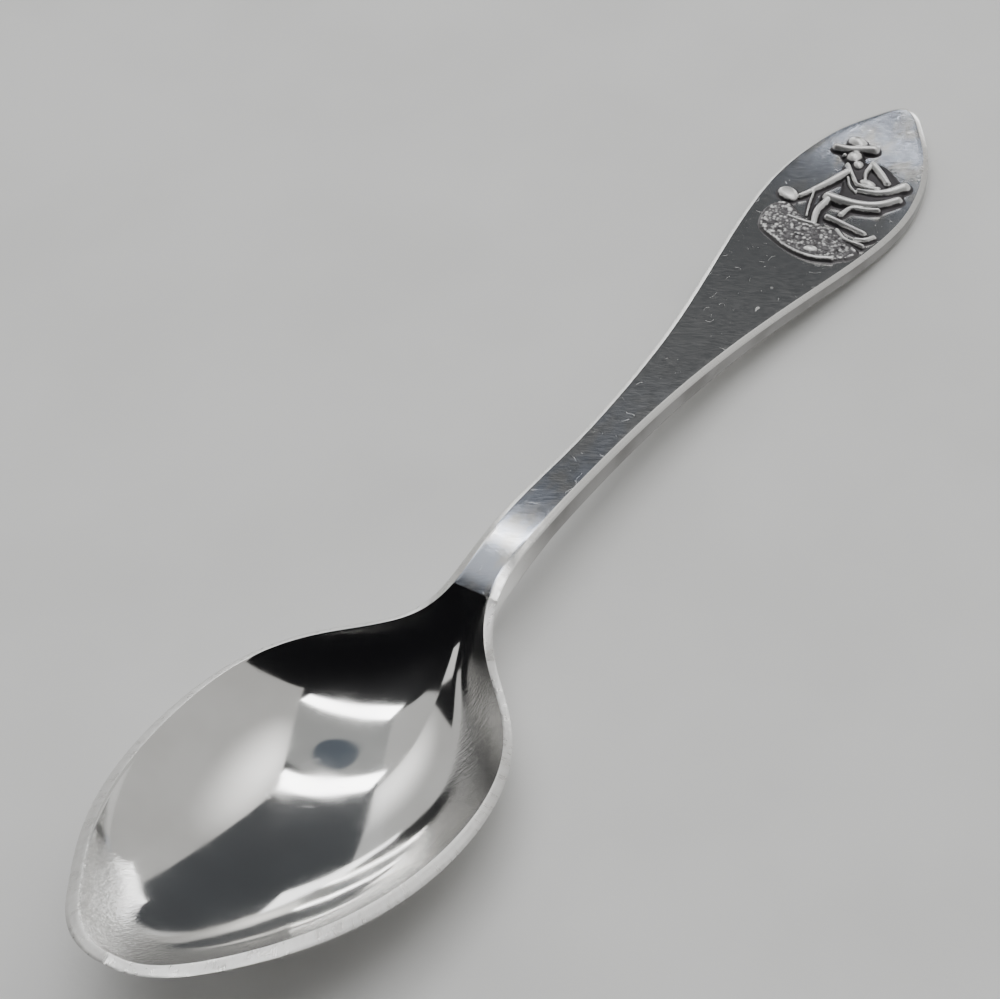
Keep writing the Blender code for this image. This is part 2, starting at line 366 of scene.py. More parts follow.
def set_measure(data, name, values):
    measure = data.attributes.new(name, "FLOAT", "POINT")
    measure.data.foreach_set("value", np.asarray(values, dtype=np.float32))


def add_measures(data):
    """Where each point lies: along the rim, in from it, toward -Y, and along X."""
    spots = np.empty(len(data.vertices) * 3)
    data.vertices.foreach_get("co", spots)
    x, y = spots.reshape(-1, 3)[:, :2].T / MM
    angle = np.arctan2(np.abs(y), x - BOWL_MIDDLE_X)
    edge_angle = np.arctan2(EDGE[:, 1], EDGE[:, 0] - BOWL_MIDDLE_X)[::-1]
    edge_reach = np.hypot(EDGE[:, 0] - BOWL_MIDDLE_X, EDGE[:, 1])[::-1]
    edge_along = lengths_along(EDGE)[::-1]
    on_bowl = x < HOLLOW_END_X
    along = np.where(on_bowl, np.interp(angle, edge_angle, edge_along), x + 60)
    inward = np.interp(angle, edge_angle, edge_reach) - np.hypot(x - BOWL_MIDDLE_X, y)
    set_measure(data, "along", along * np.where(y < 0, 1, -1))
    set_measure(data, "inward", np.where(on_bowl, inward, half_width(x) - np.abs(y)))
    set_measure(data, "south", -y / np.maximum(half_width(x), 0.1))
    set_measure(data, "station", x)


def joint_cap(verts, faces):
    """A fan over the open end of a piece, so that it is closed where bowl and handle meet."""
    directed = {(face[k - 1], face[k]) for face in faces for k in range(len(face))}
    rim = sorted((b, a) for a, b in directed if (b, a) not in directed)
    middle = len(verts)
    verts.append(sum((verts[a] for a, b in rim), Vector()) / len(rim))
    return [(a, b, middle) for a, b in rim]


def split_piece(whole, name, zones):
    """One piece of the skin, with the whole skin's normals so that the joint doesn't show."""
    normals = [Vector(n.vector) for n in whole.corner_normals]
    mesh_verts = {}
    verts = []
    faces = []
    slots = []
    corner_normals = []
    for polygon in whole.polygons:
        if polygon.material_index not in zones:
            continue
        face = []
        for loop in polygon.loop_indices:
            index = whole.loops[loop].vertex_index
            if index not in mesh_verts:
                mesh_verts[index] = len(verts)
                verts.append(whole.vertices[index].co.copy())
            face.append(mesh_verts[index])
            corner_normals.append(normals[loop])
        faces.append(face)
        slots.append(zones.index(polygon.material_index))
    for face in joint_cap(verts, faces):
        a, b, c = (verts[i] for i in face)
        faces.append(face)
        slots.append(len(zones) - 1)
        corner_normals += [(b - a).cross(c - a).normalized()] * 3
    data = bpy.data.meshes.new(name)
    data.from_pydata(verts, [], faces)
    data.polygons.foreach_set("material_index", slots)
    data.shade_smooth()
    data.normals_split_custom_set(corner_normals)
    add_measures(data)
    return link(name, data)


# ---------------------------------------------------------------- relief as fine height fields
FIELD_STEP = 0.07
FULLNESS = 1.35            # how far the struck lines have spread
STROKE_REACH = 2.2         # a stroke's widths out to which it still blends with its neighbours
OUTSIDE = -9.0             # far below the front, where a field holds nothing
SKIRT = 0.25               # how far a relief piece goes down into the front
BAND_GAP = 0.12            # kept free between the relief and the bevel
WEAR_SHADE_REACH = 5              # steps round a point that it is compared with: standing high it is worn bright, lying low it takes tarnish and painted shade
FILLET_REACH = 3           # steps over which the foot of a stroke runs out
FILLET_SHARE = 0.3
FILLET_DROP = 0.012
PEBBLE_JITTER = 0.42       # of a cell
PEBBLE_REACH = 0.75
FIELD_X = np.arange(56.5, 76.0, FIELD_STEP)
FIELD_Y = np.arange(-6.6, 6.6, FIELD_STEP)
GX, GY = np.meshgrid(FIELD_X, FIELD_Y, indexing="ij")


def distance_to_leg(start, end):
    """Each grid point's distance to a straight leg, and how far along the leg it lies."""
    run = end - start
    share = ((GX - start[0]) * run[0] + (GY - start[1]) * run[1]) / (run @ run)
    share = np.clip(share, 0, 1)
    return np.hypot(GX - start[0] - share * run[0], GY - start[1] - share * run[1]), share


def stroke(points, width, height):
    """A rounded ridge along a line; width and height may differ at its two ends."""
    points = np.array(points, dtype=float)
    if len(points) > 2:
        ends = np.diff(points, axis=0)[[0, -1]]
        ends /= np.linalg.norm(ends, axis=1)[:, None]
        points = resample(spline(points, ends[0], ends[1], 60), 24)
    total = lengths_along(points)
    widths = np.interp(total / total[-1], [0, 1], np.broadcast_to(width, 2))
    heights = np.interp(total / total[-1], [0, 1], np.broadcast_to(height, 2))
    best = np.full(GX.shape, OUTSIDE)
    for i in range(len(points) - 1):
        gap, t = distance_to_leg(points[i], points[i + 1])
        w = FULLNESS * (widths[i] + (widths[i + 1] - widths[i]) * t)
        h = heights[i] + (heights[i + 1] - heights[i]) * t
        share = gap / w
        rise = h * (1 - share**2)
        best = np.maximum(best, np.where(share < STROKE_REACH, rise, OUTSIDE))
    return best


def blob(centre, size, height, turn=0.0):
    """A round cushion with the given half sizes, turned by degrees about its centre."""
    c, s = math.cos(math.radians(turn)), math.sin(math.radians(turn))
    u = ((GX - centre[0]) * c + (GY - centre[1]) * s) / size[0]
    v = (-(GX - centre[0]) * s + (GY - centre[1]) * c) / size[1]
    return height * (1 - (u * u + v * v))


def rounded(outline):
    """The closed outline with its corners cut away again and again until it runs smoothly."""
    points = np.array(outline, dtype=float)
    for _ in range(3):
        following = np.roll(points, -1, axis=0)
        near, far = 0.75 * points + 0.25 * following, 0.25 * points + 0.75 * following
        points = np.stack([near, far], axis=1).reshape(-1, 2)
    return np.concatenate([points, points[:1]])


def inside_distance(outline):
    """Distance in from the outline once it is rounded: positive inside, negative outside."""
    points = rounded(outline)
    gap = np.full(GX.shape, 9.0)
    wind = np.zeros(GX.shape, dtype=bool)
    for a, b in zip(points[:-1], points[1:]):
        run = b - a
        gap = np.minimum(gap, distance_to_leg(a, b)[0])
        crosses = (a[1] > GY) != (b[1] > GY)
        slope = run[0] / (run[1] if abs(run[1]) > 1e-9 else 1e-9)
        wind ^= crosses & (GX < a[0] + (GY - a[1]) * slope)
    return np.where(wind, gap, -gap)


def plateau(outline, height, shoulder):
    """A low cushion with a rounded shoulder over a closed outline."""
    gap = inside_distance(outline)
    share = np.clip(gap / shoulder, 0, 1)
    return np.where(gap > 0, height * np.sqrt(1 - (1 - share) ** 2), gap * 2.0)


def mix_max(*fields, soft=0.05):
    """The highest of the fields, with small fillets where they meet."""
    result = fields[0]
    for other in fields[1:]:
        h = np.clip(0.5 + 0.5 * (other - result) / soft, 0, 1)
        result = result + (other - result) * h + soft * h * (1 - h)
    return result


BODY_OUTLINE = [
    (71.4, 1.1), (72.5, 0.1), (72.9, -1.3), (72.3, -2.8), (71.0, -4.5), (69.2, -5.3), (67.5, -4.6),
    (66.6, -2.6), (66.2, -0.4), (66.5, 0.6), (67.6, 0.0), (69.0, 0.3), (69.9, 1.2),
]
GRAVEL_OUTLINE = [
    (63.6, 4.7), (61.7, 4.5), (60.1, 3.7), (59.2, 1.6), (58.6, -1.2), (58.6, -3.0), (59.3, -4.3),
    (60.4, -5.4), (61.6, -5.5), (62.4, -3.6), (63.3, -2.3), (63.4, -0.8), (63.3, 0.9), (64.4, 2.4),
    (65.0, 3.7),
]


def blurred(field, reach):
    """The mean over a square of the given reach in steps, taken twice so that it fades evenly."""
    for _ in range(2):
        for axis in (0, 1):
            field = sum(np.roll(field, k, axis) for k in range(-reach, reach + 1)) / (2 * reach + 1)
    return field


def panner_field():
    """The squatting figure in a broad-brimmed hat, with a head, a nose and a beard only."""
    body = plateau(BODY_OUTLINE, 0.2, 0.7)
    head = blob((72.5, 1.15), (0.95, 0.95), 0.64)
    nose = blob((72.3, 2.0), (0.3, 0.3), 0.52)
    beard = blob((71.7, 0.35), (0.75, 0.66), 0.6, 40)
    brim = stroke([(72.95, 3.1), (73.05, 2.1), (73.45, 1.1), (73.95, 0.0)],
                  (0.4, 0.46), (0.66, 0.7))
    crown = blob((74.05, 1.6), (0.9, 1.3), 0.82, -25)
    lapel = stroke([(71.2, 1.1), (70.4, 0.3), (69.4, -0.7)], (0.26, 0.18), 0.68)
    far_lapel = stroke([(72.0, -0.8), (71.0, -0.8), (70.1, -1.2)], (0.3, 0.16), 0.66)
    belt_fold = stroke([(69.35, -0.75), (69.3, -1.6), (69.6, -2.7)], (0.2, 0.34), 0.6)
    shirt = blob((69.8, -1.6), (0.72, 1.2), 0.7, -12)
    near_arm = stroke([(70.4, 0.7), (69.6, 1.05), (68.4, 1.55), (67.2, 2.1)],
                      (0.44, 0.28), (0.74, 0.6))
    hand = stroke([(67.3, 2.05), (66.5, 2.4), (65.8, 2.8)], (0.3, 0.24), (0.6, 0.52))
    pick_handle = stroke([(67.2, 2.1), (65.4, 1.6), (63.8, 1.0)], 0.12, (0.5, 0.3))
    brace = stroke([(69.8, 0.3), (68.9, -0.4), (68.4, -1.2)], 0.15, (0.56, 0.46))
    upper_arm = stroke([(72.1, -0.9), (71.5, -1.9), (70.6, -3.1)], (0.42, 0.32), (0.76, 0.68))
    forearm = stroke([(70.9, -4.5), (70.0, -3.9), (69.1, -2.8), (68.7, -1.3)],
                     (0.52, 0.24), (0.74, 0.6))
    thigh = stroke([(66.8, 0.5), (66.85, -0.8), (67.1, -2.3), (67.9, -3.8), (69.2, -4.9)],
                   (0.56, 0.34), (0.82, 0.66))
    far_thigh = stroke([(65.2, -1.5), (66.3, -1.8), (66.7, -2.9), (67.2, -4.0)],
                       (0.26, 0.24), (0.5, 0.56))
    shin = stroke([(66.3, 0.4), (64.9, 0.5), (62.95, -0.1)], (0.38, 0.28), (0.66, 0.54))
    foot = stroke([(62.85, -0.2), (62.75, 1.0), (62.8, 2.2)], (0.3, 0.2), (0.56, 0.5))
    far_shin = stroke([(64.3, -0.75), (64.05, -2.5), (63.75, -4.5)], (0.32, 0.28), (0.64, 0.6))
    far_foot = stroke([(62.7, -4.3), (63.1, -5.0), (63.8, -5.4)], (0.24, 0.24), (0.54, 0.5))
    return mix_max(body, head, nose, beard, brim, crown, lapel, far_lapel, belt_fold, shirt,
                   near_arm, hand, pick_handle, brace, upper_arm, forearm, thigh, far_thigh,
                   shin, foot, far_shin, far_foot)


def pan_field():
    """The pan, seen at a slant: a low dome with a shallow dish in it."""
    centre, turn = (65.65, 3.85), -28
    rim = blob(centre, (0.82, 1.15), 0.5, turn)
    dish = blob(centre, (0.45, 0.75), 0.06, turn)
    dome = 0.6 * np.sqrt(np.clip(rim / 0.5, 0, 1))
    return np.where(rim > 0, dome - np.clip(dish, 0, 1), rim)


def scatter(a, b, weights, seed):
    """Numbers from -1 to 1 that look random but follow from the cell and the seed alone."""
    value = np.sin(a * weights[0] + b * weights[1] + seed) * 43758.5453
    return 2 * (value - np.floor(value)) - 1


def cell_noise(x, y, size, seed):
    """Rounded pebbles: height falls off from the nearest of many jittered centres."""
    u, v = x / size, y / size
    iu, iv = np.floor(u), np.floor(v)
    near = np.full(x.shape, 9.0)
    for du in (-1, 0, 1):
        for dv in (-1, 0, 1):
            a, b = iu + du, iv + dv
            px = a + 0.5 + PEBBLE_JITTER * scatter(a, b, (127.1, 311.7), seed)
            py = b + 0.5 + PEBBLE_JITTER * scatter(a, b, (269.5, 183.3), seed)
            near = np.minimum(near, np.hypot(u - px, v - py))
    return np.sqrt(np.clip(1 - (near / PEBBLE_REACH) ** 2, 0, 1))


def gravel_field():
    """The bank of pebbles with its lip, its larger rocks and the ledge behind the feet."""
    gap = inside_distance(GRAVEL_OUTLINE)
    bank = plateau(GRAVEL_OUTLINE, 0.14, 0.9)
    inside = smooth_step(gap, 0.0, 0.35)
    lumps = cell_noise(GX, GY, 0.9, 3.0)
    pebbles = 0.22 * cell_noise(GX, GY, 0.36, 1.0) * (0.4 + 0.6 * lumps)
    pebbles += 0.04 * cell_noise(GX, GY, 0.22, 5.0)
    lip = stroke([(60.1, 2.5), (59.3, 0.9), (58.85, -0.8), (58.85, -2.4), (59.4, -3.8)],
                 0.28, (0.26, 0.46))
    rocks = mix_max(blob((59.6, -1.7), (0.72, 0.95), 0.6, 20),
                    blob((60.0, -0.6), (0.35, 0.45), 0.4),
                    blob((59.3, -2.9), (0.4, 0.5), 0.4),
                    blob((61.6, 3.3), (0.3, 0.3), 0.36))
    ledge = stroke([(63.1, -2.3), (62.3, -3.5), (62.2, -5.2)], 0.22, 0.52)
    return mix_max(bank + pebbles * inside, lip, rocks, ledge, soft=0.04)


def field_piece(name, field, bright_above=0.3):
    """A closed solid under a height field; it is worn bright where it stands high and takes tarnish
    and painted shade where it lies low.
    """
    around = blurred(np.clip(field, 0, None), WEAR_SHADE_REACH)
    # high on worn bright tops, low where the relief gets tarnish and painted shade
    wear_and_shade = np.clip(2.2 * (field - around) + 1.3 * (field - bright_above), -0.3, 1)
    fillet = FILLET_SHARE * blurred(np.clip(field, 0, None), FILLET_REACH) - FILLET_DROP
    field = np.maximum(field, fillet)
    width = half_width(GX) - smooth_between(GX, BAND_WIDTH_POINTS) - BAND_GAP
    field = np.where(np.abs(GY) < width, field, OUTSIDE)
    keep = field > 0.0
    cells = keep[:-1, :-1] | keep[1:, :-1] | keep[:-1, 1:] | keep[1:, 1:]
    top = front_height(GX) + np.clip(field, -0.05, None)
    low = front_height(GX) - SKIRT
    rows, columns = GX.shape
    points = np.stack([GX, GY, top], axis=-1).reshape(-1, 3)
    floor = np.stack([GX, GY, low], axis=-1).reshape(-1, 3)
    index = np.arange(rows * columns).reshape(rows, columns)
    faces = []
    base = rows * columns
    for i, j in zip(*np.nonzero(cells)):
        a, b, c, d = index[i, j], index[i + 1, j], index[i + 1, j + 1], index[i, j + 1]
        faces.append((a, b, c, d))
        faces.append((base + d, base + c, base + b, base + a))
        for (p, q), inside in (((a, b), j > 0 and cells[i, j - 1]),
                               ((b, c), i + 1 < rows - 1 and cells[i + 1, j]),
                               ((c, d), j + 1 < columns - 1 and cells[i, j + 1]),
                               ((d, a), i > 0 and cells[i - 1, j])):
            if not inside:
                faces.append((q, p, base + p, base + q))
    everything = np.concatenate([points, floor])
    used = np.unique(np.array(faces).ravel())
    renumber = {int(old): new for new, old in enumerate(used)}
    data = bpy.data.meshes.new(name)
    data.from_pydata([tuple(everything[i] * MM) for i in used], [],
                     [tuple(renumber[int(i)] for i in face) for face in faces])
    data.shade_smooth()
    flat = np.concatenate([wear_and_shade.ravel(), np.zeros(wear_and_shade.size)])
    set_measure(data, "wear_and_shade", flat[used])
    return link(name, data)


# ---------------------------------------------------------------- materials
class Look:
    """A node material under construction. Lengths in its patterns are millimetres."""

    def __init__(self, name, colour, roughness, metallic=1.0):
        self.material = bpy.data.materials.new(name)
        self.material.use_nodes = True
        self.nodes = self.material.node_tree.nodes
        self.links = self.material.node_tree.links
        self.shader = self.nodes["Principled BSDF"]
        self.shader.inputs["Base Color"].default_value = (*colour, 1)
        self.shader.inputs["Metallic"].default_value = metallic
        self.shader.inputs["Roughness"].default_value = roughness

    def place(self, stretch=(1, 1, 1), turn=0.0, shift=0.0):
        """Object coordinates in millimetres, turned about Z and then stretched."""
        coordinates = self.nodes.new("ShaderNodeTexCoord")
        turned = self.nodes.new("ShaderNodeMapping")
        turned.inputs["Rotation"].default_value = (0, 0, math.radians(turn))
        turned.inputs["Scale"].default_value = (1 / MM, 1 / MM, 1 / MM)
        self.links.new(coordinates.outputs["Object"], turned.inputs["Vector"])
        stretched = self.nodes.new("ShaderNodeMapping")
        stretched.inputs["Location"].default_value = (shift, shift, 0)
        stretched.inputs["Scale"].default_value = stretch
        self.links.new(turned.outputs["Vector"], stretched.inputs["Vector"])
        return stretched.outputs["Vector"]

    def measure(self, name):
        node = self.nodes.new("ShaderNodeAttribute")
        node.attribute_name = name
        return node.outputs["Fac"]

    def along_rim(self, across):
        """A place that runs along the rim, a millimetre per unit, for marks square to it."""
        node = self.nodes.new("ShaderNodeCombineXYZ")
        self.links.new(self.measure("along"), node.inputs["X"])
        self.links.new(self.math("MULTIPLY", self.measure("inward"), across), node.inputs["Y"])
        return node.outputs["Vector"]

    def noise(self, vector, scale, detail=2.0, roughness=0.5):
        node = self.nodes.new("ShaderNodeTexNoise")
        node.inputs["Scale"].default_value = scale
        node.inputs["Detail"].default_value = detail
        node.inputs["Roughness"].default_value = roughness
        self.links.new(vector, node.inputs["Vector"])
        return node.outputs["Fac"]

    def steepness(self):
        """1 where the surface stands upright, 0 where it lies flat."""
        geometry = self.nodes.new("ShaderNodeNewGeometry")
        parts = self.nodes.new("ShaderNodeSeparateXYZ")
        self.links.new(geometry.outputs["Normal"], parts.inputs["Vector"])
        return self.span(self.math("ABSOLUTE", parts.outputs["Z"]), 0.25, 0.7, 1.0, 0.0)

    def gap_from(self, spot):
        """Distance in metres from a spot of the object."""
        coordinates = self.nodes.new("ShaderNodeTexCoord")
        node = self.nodes.new("ShaderNodeVectorMath")
        node.operation = "DISTANCE"
        node.inputs[1].default_value = spot
        self.links.new(coordinates.outputs["Object"], node.inputs[0])
        return node.outputs["Value"]

    def dots(self, vector, scale):
        node = self.nodes.new("ShaderNodeTexVoronoi")
        node.inputs["Scale"].default_value = scale
        self.links.new(vector, node.inputs["Vector"])
        return node.outputs["Distance"]

    def span(self, value, low, high, out_low=0.0, out_high=1.0):
        node = self.nodes.new("ShaderNodeMapRange")
        node.interpolation_type = "SMOOTHSTEP"
        ends = {"From Min": low, "From Max": high, "To Min": out_low, "To Max": out_high}
        for socket, number in ends.items():
            node.inputs[socket].default_value = number
        self.links.new(value, node.inputs["Value"])
        return node.outputs["Result"]

    def math(self, operation, first, second=0.0):
        node = self.nodes.new("ShaderNodeMath")
        node.operation = operation
        for socket, value in zip(node.inputs, (first, second)):
            if isinstance(value, (int, float)):
                socket.default_value = value
            else:
                self.links.new(value, socket)
        return node.outputs["Value"]

    def mix(self, share, first, second):
        node = self.nodes.new("ShaderNodeMix")
        node.data_type = "RGBA"
        self.links.new(share, node.inputs["Factor"])
        for socket, value in (("A", first), ("B", second)):
            slot = [s for s in node.inputs if s.name == socket and s.type == "RGBA"][0]
            if isinstance(value, tuple):
                slot.default_value = (*value, 1)
            else:
                self.links.new(value, slot)
        return [s for s in node.outputs if s.type == "RGBA"][0]

    def bump(self, height, depth, normal=None):
        """Bump from a height between 0 and 1 that stands for a depth in micrometres."""
        node = self.nodes.new("ShaderNodeBump")
        node.inputs["Distance"].default_value = depth * 1e-6
        self.links.new(height, node.inputs["Height"])
        if normal is not None:
            self.links.new(normal, node.inputs["Normal"])
        return node.outputs["Normal"]

    def curl_scratches(self, scale, shift, thin, kept):
        """Short curling hairlines: thin contour lines of a soft noise, kept in patches."""
        cloud = self.noise(self.place(shift=shift), scale, 1.0)
        contour = self.math("ABSOLUTE", self.math("SUBTRACT", cloud, 0.5))
        line = self.span(contour, 0.0, thin, 1.0, 0.0)
        patches = self.noise(self.place(shift=shift + 7), scale * 1.7, 1.0)
        return self.math("MULTIPLY", line, self.span(patches, kept, kept + 0.05))

    def finish(self, colour=None, roughness=None, normal=None):
        for socket, value in (("Base Color", colour), ("Roughness", roughness), ("Normal", normal)):
            if value is not None:
                self.links.new(value, self.shader.inputs[socket])
        return self.material


SILVER = (0.93, 0.925, 0.91)
SILVER_RUBBED = (0.98, 0.975, 0.96)
SILVER_DULL = (0.84, 0.83, 0.81)
# painted reflection: a bluish tint for patches of the handle's front near its ends
SILVER_BLUE_REFLECTION = (0.77, 0.82, 0.93)
# tarnish and painted shade for the relief's low parts, round the figure and in the gravel
TARNISH_AND_SHADE = (0.1, 0.095, 0.1)
TARNISH_AND_SHADE_THIN = (0.17, 0.165, 0.17)
# painted shade for the upright sides of the handle's stem, in place of the dark that they mirror,
# in darker and paler patches
PAINTED_SIDE_SHADE = (0.2, 0.195, 0.19)
PAINTED_SIDE_SHADE_STARTS = (12.0, 20.0)   # along X, where the neck turns into the stem
PAINTED_SIDE_SHADE_PALE = (0.32, 0.315, 0.31)
FLOOR_PALE = (0.85, 0.85, 0.84)
FLOOR_SHADE = (0.8, 0.8, 0.79)


def hollow_look():
    """Mirror polish of the bowl, with haze, hairlines and fine marks square to the rim."""
    look = Look("bowl_mirror", SILVER, 0.07)
    look.shader.inputs["Coat Weight"].default_value = 0.6
    look.shader.inputs["Coat Roughness"].default_value = 0.34
    cloud = look.noise(look.place(), 0.16, 3.0)
    colour = look.mix(look.span(cloud, 0.3, 0.75), SILVER, SILVER_DULL)
    hairs = look.curl_scratches(0.5, 3.0, 0.004, 0.6)
    marks = look.noise(look.along_rim(0.4), 3.5, 3.0, 0.7)
    near_rim = look.span(look.measure("inward"), 2.2, 6.0, 1.0, 0.0)
    south = look.span(look.measure("south"), 0.35, 0.75)
    tip = look.span(look.measure("station"), -25.0, -21.0, 1.0, 0.0)
    ground = look.math("MULTIPLY", near_rim, look.math("MAXIMUM", south, tip))
    rough = look.span(look.noise(look.place(shift=11.0), 0.35, 4.0), 0.3, 0.8, 0.06, 0.11)
    rough = look.math("ADD", rough, look.math("MULTIPLY", hairs, 0.08))
    ground_marks = look.math("MULTIPLY", ground, marks)
    rough = look.math("ADD", rough, look.math("MULTIPLY", ground_marks, 0.16))
    normal = look.bump(look.noise(look.place(shift=4.0), 0.22, 1.0), 16.0)
    normal = look.bump(ground_marks, 90.0, normal)
    normal = look.bump(hairs, 0.4, normal)
    return look.finish(colour, rough, normal)


def band_look():
    """The rim: ground square to its length, so it breaks into fine bright and dull marks."""
    look = Look("ground_rim", SILVER, 0.2)
    fine = look.noise(look.along_rim(0.2), 7.0, 3.0, 0.7)
    coarse = look.noise(look.along_rim(0.5), 1.3, 2.0, 0.6)
    colour = look.mix(look.span(coarse, 0.3, 0.7), SILVER_DULL, SILVER)
    rough = look.span(coarse, 0.3, 0.7, 0.24, 0.4)
    normal = look.bump(fine, 18.0)
    normal = look.bump(coarse, 12.0, normal)
    return look.finish(colour, rough, normal)


def outside_look(name, painted_side_shade=False):
    """The outsides: polished but handled, with fine long scratches and duller patches. When asked,
    the upright sides of the handle's stem are darkened with painted shade in place of a dark
    reflection.
    """
    look = Look(name, SILVER, 0.12)
    cloud = look.noise(look.place(shift=2.0), 0.2, 4.0)
    patches = look.span(cloud, 0.35, 0.75)
    colour = look.mix(patches, SILVER, SILVER_DULL)
    # painted shade: the stem's upright sides are darkened in place of a dark reflection
    if painted_side_shade:
        on_stem = look.span(look.measure("station"), *PAINTED_SIDE_SHADE_STARTS)
        on_sides = look.math("MULTIPLY", look.steepness(), on_stem)
        colour = look.mix(on_sides, colour, look.mix(patches, PAINTED_SIDE_SHADE_PALE, PAINTED_SIDE_SHADE))
    rub = look.noise(look.place((0.25, 9.0, 9.0), 4.0), 1.0, 2.0, 0.6)
    rough = look.span(cloud, 0.3, 0.8, 0.08, 0.2)
    hairs = look.curl_scratches(0.4, 9.0, 0.01, 0.5)
    rough = look.math("ADD", rough, look.math("MULTIPLY", hairs, 0.2))
    normal = look.bump(rub, 1.2)
    normal = look.bump(hairs, 1.5, normal)
    return look.finish(colour, rough, normal)


def front_look():
    """The handle's front: worn polish with a haze of crosswise rubbing, hairlines and nicks, and
    toward the stem and the end patches of painted bluish reflection.
    """
    look = Look("handle_front", SILVER, 0.1)
    cloud = look.noise(look.place((1.0, 1.6, 1.0)), 0.33, 3.0)
    toward_stem = look.span(look.measure("station"), 16.0, 44.0, 1.0, 0.0)
    toward_end = look.span(look.measure("station"), 62.0, 74.0)
    at_ends = look.math("ADD", toward_stem, toward_end)
    # painted reflection: bluish patches toward the stem and the end
    blue_reflection = look.math("MULTIPLY", at_ends, look.span(cloud, 0.34, 0.58))
    colour = look.mix(blue_reflection, SILVER_DULL, SILVER_BLUE_REFLECTION)
    rub = look.noise(look.place((9.0, 1.2, 1.0), -24.0), 1.0, 3.0, 0.7)
    haze = look.span(rub, 0.3, 0.7, 0.17, 0.25)
    hairs = look.curl_scratches(0.45, 1.0, 0.005, 0.6)
    short = look.curl_scratches(1.1, 5.0, 0.005, 0.68)
    nicks = look.span(look.dots(look.place(), 0.3), 0.03, 0.06, 1.0, 0.0)
    worn = look.span(look.noise(look.place(shift=8.0), 0.2, 1.0), 0.5, 0.6)
    scratches = look.math("MAXIMUM", hairs, short)
    marks = look.math("MAXIMUM", scratches, look.math("MULTIPLY", nicks, worn))
    rough = look.math("ADD", haze, look.math("MULTIPLY", marks, 0.4))
    normal = look.bump(rub, 0.12)
    normal = look.bump(marks, 2.5, normal)
    return look.finish(colour, rough, normal)


def bevel_look():
    """The narrow bevel round the handle: bright, with small dents along it."""
    look = Look("handle_bevel", SILVER, 0.15)
    dents = look.noise(look.along_rim(0.5), 0.9, 3.0, 0.6)
    colour = look.mix(look.span(dents, 0.35, 0.65), SILVER, SILVER_DULL)
    rough = look.span(dents, 0.3, 0.7, 0.16, 0.3)
    normal = look.bump(dents, 8.0)
    return look.finish(colour, rough, normal)


def relief_look(name, grain, low):
    """Struck relief: worn bright where it stands high, with tarnish and painted shade darkening the
    corners round the figure.
    """
    look = Look(name, SILVER, 0.2)
    wear_and_shade = look.measure("wear_and_shade")
    uneven = look.span(look.noise(look.place(), 2.2, 3.0), 0.2, 0.8, -0.14, 0.14)
    patchy = look.math("ADD", wear_and_shade, uneven)
    bright = look.span(patchy, -0.05, 0.28)
    # tarnish and painted shade in the low parts, worn silver on the high ones
    colour = look.mix(bright, low, SILVER_RUBBED)
    rough = look.span(patchy, 0.1, 0.8, 0.5, 0.42)
    normal = look.bump(look.noise(look.place(shift=6.0), grain, 3.0, 0.6), 8.0)
    return look.finish(colour, rough, normal)


def floor_look():
    """A pale matt sheet with a faint mottle."""
    look = Look("pale_floor", FLOOR_PALE, 0.8, 0.0)
    mottle = look.noise(look.place(), 0.05, 3.0)
    colour = look.mix(look.span(mottle, 0.3, 0.7), FLOOR_PALE, FLOOR_SHADE)
    normal = look.bump(look.noise(look.place(), 1.5, 2.0), 12.0)
    return look.finish(colour, None, normal)


# ---------------------------------------------------------------- camera, floor and light
CAMERA_SPOT = (-103.07, -96.71, 172.94)   # in millimetres
CAMERA_FORWARD = (0.53640, 0.43483, -0.72333)
CAMERA_UP = (0.64271, 0.34502, 0.68402)
LENS = 108.0
# From here on in metres, and glows as emission strengths
FLOOR = 1.5
TENT_HEIGHT = 0.45
TUBE_HEIGHT = TENT_HEIGHT - 0.005
WALL_FOOT = 0.001
TUBE_GLOW = 9.0
ROOF_GLOW = 0.36
CLOTH_GLOW = 0.54
SIDE_GLOW = 0.8
GAP_GLOW = 0.066
LOW_GLOW = 3.0
FILL_GLOW = 2.8
OPENING_GLOW = 0.11
HOT_GLOW = 1.5             # how much brighter the cloth is beside a tube
HOT_REACH = 0.2            # and how far from the tube's end that carries
OPENING_CENTRE = (0.218, 0.065)
OPENING_ACROSS = (0.042, 0.05)
OPENING_ALONG = (-0.017, 0.07)
ROOF_CORNERS = ((0.08, -0.286), (0.29, -0.061), (0.29, 0.33), (0.08, 0.115))
ROOF_END_Y = 0.36
WING_X = 0.02              # where the roof's wing toward the right cloth stops
WING_START_Y = 0.19
WHITE = (1.0, 1.0, 1.0)
WARM = (1.0, 0.995, 0.975)
CREAM = (1.0, 1.0, 0.985)
ROOF_COLOUR = (0.98, 1.0, 0.99)
OPENING_COLOUR = (0.6, 0.77, 1.0)
GAP_COLOUR = (0.86, 0.93, 1.0)
NIGHT = (0.006, 0.006, 0.007)


def build_camera():
    data = bpy.data.cameras.new("camera")
    data.lens = LENS
    data.sensor_width = 36.0
    data.clip_start = 0.01
    made = link("camera", data)
    forward = Vector(CAMERA_FORWARD).normalized()
    up = Vector(CAMERA_UP).normalized()
    side = forward.cross(up).normalized()
    up = side.cross(forward)
    turn = Matrix((side, up, -forward)).transposed().to_4x4()
    made.matrix_world = Matrix.Translation(Vector(CAMERA_SPOT) * MM) @ turn
    bpy.context.scene.camera = made


